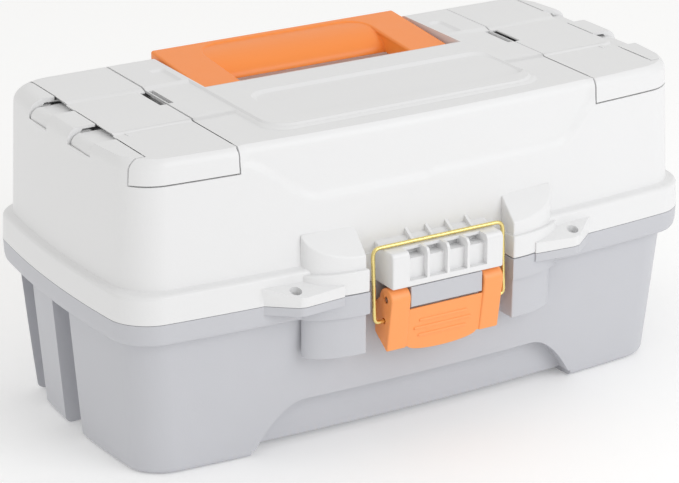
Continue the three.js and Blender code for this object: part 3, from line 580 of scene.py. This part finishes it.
def lid_shell():
    outer = cut(lid_outer(), *band_steps())
    piece = cut(twin(outer), lid_inner())
    floor = lid_top - 31 - wall - 2
    for side in (1, -1):
        well = side_block(side, (DOOR_SEAM - 2 * wall, -BEYOND, floor), (FAR, BEYOND, lid_top))
        cut(well, side_block(side, (DOOR_SEAM - wall, -180, floor + wall), (FAR + 1, 180, 300)))
        join(piece, common(well, twin(outer)))
        for near, far in ((-DOOR_CORNER, -36), (-13, 13), (36, DOOR_CORNER)):
            post = side_block(side, (DOOR_AXIS[0] - POST_DEPTH + wall, near, SKIRT_LOW - 12),
                              (FAR, far, DOOR_AXIS[1] + 5.5))
            join(piece, common(post, twin(outer)))
    recess_half, recess_front, recess_floor = HANDLE_HALF + 2.5, HANDLE_AXIS[0] - 7.1, lid_top - 19
    recess_walls = block((-recess_half - wall, recess_front - wall, recess_floor - wall),
                         (recess_half + wall, BEYOND, lid_top))
    join(piece, common(recess_walls, twin(outer)))
    bpy.data.objects.remove(outer)

    # piers, padlock ears and the catch
    fronts = []
    for side in (1, -1):
        hood = prism(pier_plan(side, 0), "Z", SHOULDER - 8, PIER["high"] + 3)
        slope = prism([(-PIER["reach"] - 3, PIER["shoulder"]),
                       (-CHANNEL_BACK + 3, PIER["high"] + 1.5),
                       (-CHANNEL_BACK + 3, 170), (-PIER["reach"] - 3, 170)], "X", -FAR, FAR)
        foot = prism(pier_plan(side, PIER_BAND), "Z", high_seam, SHOULDER - 3)
        fronts += [rounded(cut(hood, slope), 3.6, 6, 25), rounded(foot, 1.2, 3, 40)]
        ear = prism(ear_plan(side), "Z", high_seam, high_seam + EAR["height"])
        ear_top = high_seam + EAR["height"]
        above = prism([(-EAR["reach"] - 1, ear_top - EAR["slope"]), (-EAR["back"], ear_top),
                       (-EAR["back"], 200), (-EAR["reach"] - 1, 200)], "X", -FAR, FAR)
        fronts.append(cut(ear, above))
    channel = PIER["inner"] - PIER_BAND / 2
    cut(piece, block((-channel, -BEYOND, high_seam - past),
                     (channel, -CHANNEL_BACK, SHOULDER + 8)))
    ledge, face, behind, rise = 111.0, -105.9, -94.1, 6.4
    rib_pitch, rib_half, catch_half = 12.5, 0.8, 34.5
    catch = rounded(prism([(face, high_seam), (-half_depth, high_seam), (-half_depth, ledge + 2),
                           (-CHANNEL_BACK, ledge + 2), (behind, ledge), (face + 1.6, ledge),
                           (face, ledge - 2.5)], "X", -catch_half, catch_half), 0.9, 3, 40)
    for k in (-1.5, -0.5, 0.5, 1.5):
        low, high = (k - 0.5) * rib_pitch + rib_half, (k + 0.5) * rib_pitch - rib_half
        cut(catch, block((low, -107, high_seam + 3.3), (high, -102.5, ledge + 1)),
            block((low, face, ledge - 5), (high, -98, ledge + 1)),
            block((low, face, ledge - 5), (high, behind - 0.5, ledge - 1.8)))
    for k in (-1, 0, 1, 2):
        middle = k * rib_pitch - 2.5
        fin = prism([(behind, ledge - 0.5), (-half_depth, ledge - 0.5), (-half_depth, ledge + rise),
                     (-CHANNEL_BACK + 2, ledge + rise), (behind, ledge + 1.6)], "X",
                    middle - rib_half, middle + rib_half)
        join(catch, fin)
    fronts.append(catch)
    for part in fronts:
        join(piece, cut(part, lid_inner()))

    # rear hinge knuckles and the lugs of the tray
    for side in (1, -1):
        for end in (-1, 1):
            middle = side * HINGE_X + end * (HINGE_HALF + 7.8)
            web = block((middle - 7.5, half_depth - 4, high_seam),
                        (middle + 7.5, HINGE_BACK, seam + KNUCKLE))
            join(piece, join(rod("X", (middle, HINGE_BACK, seam), KNUCKLE, 15), web))
            cut(piece, rod("X", (middle, HINGE_BACK, seam), 2.05, 17))
        lug = side_block(side, (SWING_X - 1.7, TRAY_AXIS[0] - 6, TRAY_AXIS[1] - 6),
                         (SWING_END, TRAY_AXIS[0] + 6, TRAY_AXIS[1] + 12))
        join(piece, cut(lug, rod("X", (side * SWING_X, *TRAY_AXIS), 2.5, 40)))

    # openings: doors, handle recess, pin holes and the shallow label panel
    for side in (1, -1):
        cut(piece, door_zone(side, DOOR_GAP / 2))
        cut(piece, side_block(side, (DOOR_SEAM - 4, NOTCH_FRONT, lid_top - 4.4),
                              (DOOR_SEAM - 1, NOTCH_REAR, 300)))
        cut(piece, rod("Y", (side * DOOR_AXIS[0], 0, DOOR_AXIS[1]), 1.8, 128))
        cut(piece, rod("Z", (side * PADLOCK["x"], PADLOCK["y"], 98), PADLOCK["radius"], 16))
    cut(piece, block((-recess_half, recess_front, recess_floor), (recess_half, BEYOND, 300)))
    cut(piece, prism([(recess_front - 5, lid_top + 1), (recess_front - 5, lid_top - 0.1),
                      (recess_front - 2.5, lid_top - 0.6), (recess_front - 0.6, lid_top - 1.6),
                      (recess_front, lid_top - 2.8), (recess_front + 1, lid_top - 2.8),
                      (recess_front + 1, lid_top + 1)], "X", -recess_half, recess_half))
    cut(piece, rod("X", (0, *HANDLE_AXIS), 2.8, 2 * recess_half + 6 * wall))
    label_low, label_high = (-70, -57), (86, -8)
    cut(piece, sunk(label_low, label_high, 12, 2, 4))
    # two sunk pads on each rail beside the handle
    for side in (1, -1):
        inner, outer = sorted((side * (HANDLE_HALF + 5.5), side * (HANDLE_HALF + 16.5)))
        for near, far in ((-24, 0), (26, 52)):
            cut(piece, sunk((inner, near), (outer, far), 3, 1.3, 3))
    return piece


lid = soften(lid_shell(), 0)
lid.name = "lid_cover"
white_plastic = moulded("white_moulding", (0.80, 0.80, 0.805), 0.36, 1100, 0.06, 0.012)
wear(lid, white_plastic)
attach(lid, "lid")
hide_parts("lid_shell")

# ------------------------------------------------------------------ lid-top doors
# Each end of the lid has a white door over a storage well. Its two barrels turn on a steel
# pin between the lid's posts, and a notch in its inner edge takes a finger.
def lid_door(side):
    piece = cut(lid_outer(), *band_steps())
    cut(piece, lid_inner())
    common(piece, door_zone(side, -DOOR_GAP / 2))
    axis_x, axis_z = DOOR_AXIS
    post = axis_x - POST_DEPTH
    swing = side_block(side, (axis_x, -BEYOND, 0), (FAR, BEYOND, 300))
    cut(swing, rod("Y", (side * axis_x, 0, axis_z), axis_z - SKIRT_LOW - 0.3, 340, 64))
    cut(piece, side_block(side, (axis_x, -DOOR_CORNER, 0), (FAR, DOOR_CORNER, 300)),
        side_block(side, (post, -DOOR_CORNER, 0), (FAR, DOOR_CORNER, axis_z - 1)), swing)
    # the edge beside the posts is undercut in each band, so that it swings up past them
    edges = (-DOOR_CORNER, -31.8, 23.2, DOOR_CORNER)
    for k, (near, far) in enumerate(zip(edges, edges[1:])):
        rise = lid_top - STEP_DEPTH * (2 - k) - axis_z
        reach = math.hypot(POST_DEPTH - DOOR_GAP / 2, rise) + gap
        under = rod("Y", (side * axis_x, (near + far) / 2, axis_z), reach, far - near, 96)
        edge = side_block(side, (axis_x - 20, -83, axis_z), (axis_x, 83, lid_top))
        cut(piece, common(under, edge))
    for end in (-1, 1):
        near, far = sorted((end * (BARREL["inner"] + DOOR_GAP / 2),
                            end * (BARREL["outer"] - DOOR_GAP / 2)))
        inner, upper = axis_x - 2 * POST_DEPTH, axis_z + BARREL["radius"]
        web = side_block(side, (inner, near, upper - wall), (axis_x, far, upper))
        riser = side_block(side, (inner, near, upper - wall),
                           (inner + wall, far, lid_top - wall + 0.5))
        barrel = rod("Y", (side * axis_x, (near + far) / 2, axis_z), BARREL["radius"],
                     far - near, 48)
        join(piece, join(barrel, web, riser))
    cut(piece, rod("Y", (side * axis_x, 0, axis_z), 1.95, 72),
        side_block(side, (DOOR_SEAM - past, NOTCH_FRONT, lid_top - 5),
                   (DOOR_SEAM + 4, NOTCH_REAR, 300)))
    return piece


for word, side in (("left", -1), ("right", 1)):
    door = soften(lid_door(side), 0.6)
    door.name = f"{word}_door_cover"
    wear(door, white_plastic)
    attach(door, f"{word}_lid_door")
    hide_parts(f"{word}_door")

# ------------------------------------------------------------------ carry handle
# One orange moulding that folds flat into the lid: two flat arms on a pivot in front and a
# rolled grip across the rear, hollow underneath like the real moulding.
def carry_handle():
    y0, z0 = HANDLE_AXIS
    end, rear, rear_top, thick, arm = 6, 78.5, 180.4, 9, 25
    rise = (rear_top - end - z0) / (rear - y0)

    def top(y):
        return z0 + end + (y - y0) * rise

    # the flat frame: a U-shaped plan whose inner corners sweep round into the rear bar
    bar, sweep, opening, front = 5, 14, HANDLE_HALF - arm, y0 - end - 1
    plan = [(-HANDLE_HALF, front), (-HANDLE_HALF, rear), (HANDLE_HALF, rear),
            (HANDLE_HALF, front), (opening, front)]
    turn = [(opening - sweep * (1 - math.cos(i / 10 * math.pi / 2)),
             rear - bar - sweep * (1 - math.sin(i / 10 * math.pi / 2))) for i in range(11)]
    plan += turn + [(-x, y) for x, y in reversed(turn)] + [(-opening, front)]
    piece = prism(plan, "Z", z0 - 20, z0 + 30)
    side_view = [(y0 - end * math.sin(i / 24 * math.pi), z0 - end * math.cos(i / 24 * math.pi))
                 for i in range(25)]
    side_view += [(rear, top(rear)), (rear, top(rear) - thick)]
    common(piece, prism(side_view, "X", -HANDLE_HALF - 1, HANDLE_HALF + 1))
    rounded(piece, 1.4, 4, 30)

    def roll(offset):
        reach, drop = 27 - offset, thick + 3 - offset
        return [(rear - 6 - reach * math.sin(i / 24 * math.pi / 2),
                 top(rear - 6) - 0.8 - offset - drop * (1 - math.cos(i / 24 * math.pi / 2)))
                for i in range(25)]

    skin = 3.6
    profile = ([(rear - 2, top(rear) - 0.8)] + roll(0) + roll(skin)[::-1]
               + [(rear - 2, top(rear) - 0.8 - skin)])
    join(piece, rounded(prism(profile, "X", -(opening + 2), opening + 2), 0.9, 3, 50))
    cut(piece, rod("X", (0, y0, z0), 2.95, 2 * HANDLE_HALF + 4))
    return piece


orange_plastic = moulded("orange_moulding", (1.0, 0.29, 0.052), 0.34, 1200, 0.07, 0.02)
handle = soften(carry_handle(), 0.25, 1, 45)
handle.name = "carry_handle_grip"
wear(handle, orange_plastic)
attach(handle, "handle")
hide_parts("carry_handle")

# ------------------------------------------------------------------ latch lever
# The orange lever is the handle's plastic, painted a little paler as sheen from the front light; it
# turns on a pin in the tub's tongue. Two cheeks carry the bail, and the thin plate between them has
# three grip ribs and a curved finger tab along its lower edge.
BAIL_AXIS = (-97.8, 71.8)


def latch_lever():
    y0, z0 = LEVER_AXIS
    crown_radius, lean, low, back, skin = 6.3, 4.5, 54.8, -88.6, 3.4
    front = y0 - crown_radius
    low_front = front + lean
    room = LATCH_HALF - LEVER_ARM

    def face(z):
        return low_front - lean * (z - low) / (z0 - low)

    crown = [(y0 + crown_radius * math.cos(i / 20 * math.pi),
              z0 + crown_radius * math.sin(i / 20 * math.pi)) for i in range(21)]
    profile = crown + [(low_front, low + 1), (low_front + 1, low), (back, low + 8),
                       (back, z0 - 4)]
    piece = join(rounded(prism(profile, "X", -LATCH_HALF, -room), 0.9, 3, 40),
                 rounded(prism(profile, "X", room, LATCH_HALF), 0.9, 3, 40))
    plate_top = band_low - 1.2
    # the plate and its curved finger tab are one sheet that leans back towards the box
    tab_half, tab_drop, edge = 21.5, 4, low + 0.6
    sheet = [(tab_half * math.cos(i / 28 * math.pi), edge - tab_drop * math.sin(i / 28 * math.pi))
             for i in range(29)]
    sheet += [(-room - 1, edge), (-room - 1, plate_top), (room + 1, plate_top), (room + 1, edge)]
    plate = rounded(prism(sheet, "Y", 0, skin), 0.9, 3, 40)
    for vertex in plate.data.vertices:
        vertex.co.y += (face(vertex.co.z / MM) + 0.9) * MM
    swept = cut(block((-40, y0 - 5, plate_top - 3), (40, y0 + 1, plate_top + 1)),
                block((-41, y0 - 6, plate_top - 4), (41, face(plate_top) + 2.1, plate_top + 2)))
    join(piece, cut(plate, swept))
    for k, z in enumerate((60.9, 65.5, 69.9)):
        bar = rod("X", (-1, face(z) + 1.1, z), 0.9, 30 + 6 * (k % 2), 20)
        join(piece, rounded(bar, 0.4, 2, 60))
    cut(piece, block((-LATCH_HALF + skin, y0, low - 3), (LATCH_HALF - skin, back + 1, z0 - 6.9)),
        rod("X", (0, *BAIL_AXIS), 1.55, 72, 16), rod("X", (0, y0, z0), 1.95, 72))
    return piece


# The handle's orange plastic in a paler colour: painted sheen from the front light on the lever.
orange_plastic_painted_sheen = moulded("orange_moulding_painted_sheen", (1.0, 0.36, 0.11), 0.34, 1200, 0.07, 0.02)
lever = soften(latch_lever(), 0.25, 1, 45)
lever.name = "latch_lever_plate"
wear(lever, orange_plastic_painted_sheen)
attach(lever, "lever")
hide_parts("latch_lever")

# ------------------------------------------------------------------ wire bail
# One brassed wire, 2.2 mm thick, hooked into the lever's cheeks and bent square across the
# catch, where the closed lever pulls it tight.
def wire_bail():
    half, bend, hook = 40.6, 4.5, 3.0
    low, high = Vector((half, *BAIL_AXIS)), Vector((half, -95.5, 112.4))
    up = (high - low).normalized()
    inwards = Vector((-1, 0, 0))
    run = [low + inwards * 8, low + inwards * hook]
    run += [low + inwards * hook * (1 - t) ** 2 + up * hook * t ** 2
            for t in (0.25, 0.5, 0.75, 1.0)]
    run.append(high - up * bend)
    run += [high - up * bend * (1 - t) ** 2 + inwards * bend * t ** 2
            for t in (0.2, 0.4, 0.6, 0.8, 1.0)]
    points = run + [Vector((-p.x, p.y, p.z)) for p in reversed(run)]
    bpy.ops.object.select_all(action="DESELECT")
    bpy.ops.curve.primitive_nurbs_path_add()
    piece = bpy.context.object
    curve = piece.data
    curve.splines.clear()
    spline = curve.splines.new("POLY")
    spline.points.add(len(points) - 1)
    for place, point in zip(spline.points, points):
        place.co = (*metres(*point), 1)
    curve.bevel_depth = 1.1 * MM
    curve.bevel_resolution = 6
    curve.use_fill_caps = True
    bpy.ops.object.convert(target="MESH")
    bpy.ops.object.shade_smooth_by_angle(angle=math.radians(50))
    return apply_place(bpy.context.object)


def metal(name, colour, roughness, streak):
    finish = Finish(name)
    tone = finish.noise(streak, 3)
    darker = [c * 0.9 for c in colour]
    relief = finish.node("ShaderNodeBump", {}, {"Strength": 0.25, "Distance": 0.03 * MM,
                                                "Height": tone})
    finish.fill(finish.surface, {"Base Color": finish.blend(tone, darker, colour),
                                 "Metallic": 1.0, "Roughness": roughness + tone * 0.12,
                                 "Normal": relief})
    return finish.material


bail = wire_bail()
bail.name = "latch_bail_wire"
wear(bail, metal("brassed_wire", (0.90, 0.74, 0.30), 0.20, 700))
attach(bail, "bail")
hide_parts("latch_bail")

# ------------------------------------------------------------------ tray, arms and pins
# The cantilever tray with its loose dividers is translucent white, its swing arms are grey,
# and every pin is plain steel. Their CAD shapes are copied and their edges rounded.
def rounded_copy(node, width):
    piece = twin(frame["nodes"][node])
    select_only(piece)
    bpy.ops.object.mode_set(mode="EDIT")
    bpy.ops.mesh.select_all(action="SELECT")
    bpy.ops.mesh.remove_doubles(threshold=0.005 * MM)
    bpy.ops.mesh.dissolve_limited(angle_limit=math.radians(1))
    bpy.ops.object.mode_set(mode="OBJECT")
    return soften(piece, width)


tray_plastic = moulded("tray_moulding", (0.80, 0.82, 0.83), 0.30, 900, 0.05, 0.015)
steel = metal("steel_pin", (0.62, 0.63, 0.65), 0.24, 900)
kinds = {"tray": ("cantilever_tray", "tray_divider"), "arm": ("_swing_arm",), "pin": ("_pin",)}
looks = {"tray": (tray_plastic, "tray_plastic", 0.4), "arm": (gray_plastic, "gray_plastic", 0.4),
         "pin": (steel, "steel_pin", 0.3)}
for body, members in frame["record"]["behaviour"]["bodies"].items():
    for node in members:
        kind = next((k for k, words in kinds.items() if any(w in node for w in words)), None)
        if kind:
            material, slot, width = looks[kind]
            piece = rounded_copy(node, width)
            piece.name = f"{node}_part"
            wear(piece, material)
            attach(piece, body)
            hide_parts(node)

# ------------------------------------------------------------------ studio
# A pale sweep floor under a bright, even tent of light, with a softbox in front to the
# right and one overhead; a long lens looks down at the box from its front left.
bpy.ops.object.select_all(action="DESELECT")
bpy.ops.mesh.primitive_plane_add(size=12)
floor = apply_place(bpy.context.object)
floor.name = "studio_floor"
paper = Finish("white_paper")
shade = paper.blend(paper.noise(3), (0.93, 0.93, 0.93), (0.95, 0.95, 0.95))
paper.fill(paper.surface, {"Base Color": shade, "Roughness": 0.9, "Specular IOR Level": 0.1,
                           "Emission Color": (1, 1, 1, 1), "Emission Strength": 0.13})
wear(floor, paper.material)

world = bpy.data.worlds.new("tent")
bpy.context.scene.world = world
world.use_nodes = True
background = world.node_tree.nodes["Background"]
background.inputs["Color"].default_value = (1, 0.995, 0.98, 1)
background.inputs["Strength"].default_value = 0.77


def softbox(place, target, size, power):
    lamp = bpy.data.lights.new("softbox", "AREA")
    lamp.shape = "RECTANGLE"
    lamp.size, lamp.size_y = size
    lamp.energy = power
    lamp.color = (0.96, 0.975, 1)
    holder = bpy.data.objects.new("softbox", lamp)
    bpy.context.collection.objects.link(holder)
    holder.location = metres(*place)
    holder.rotation_euler = (Vector(target) - Vector(place)).to_track_quat("-Z", "Y").to_euler()


softbox((700, -1500, 900), (0, 0, 90), (1.2, 1.0), 9)
softbox((-200, 200, 1600), (0, 0, 90), (1.4, 1.4), 1.5)

lens = bpy.data.cameras.new("long_lens")
lens.lens = 141.09
lens.sensor_width = 36
camera = bpy.data.objects.new("camera", lens)
bpy.context.collection.objects.link(camera)
pitch, roll, heading = 68.8294, -0.0097, -30.8968
camera.location = metres(-715.66, -1189.86, 614.8)
camera.rotation_euler = [math.radians(angle) for angle in (pitch, roll, heading)]
bpy.context.scene.camera = camera
bpy.context.scene.view_settings.view_transform = "Standard"
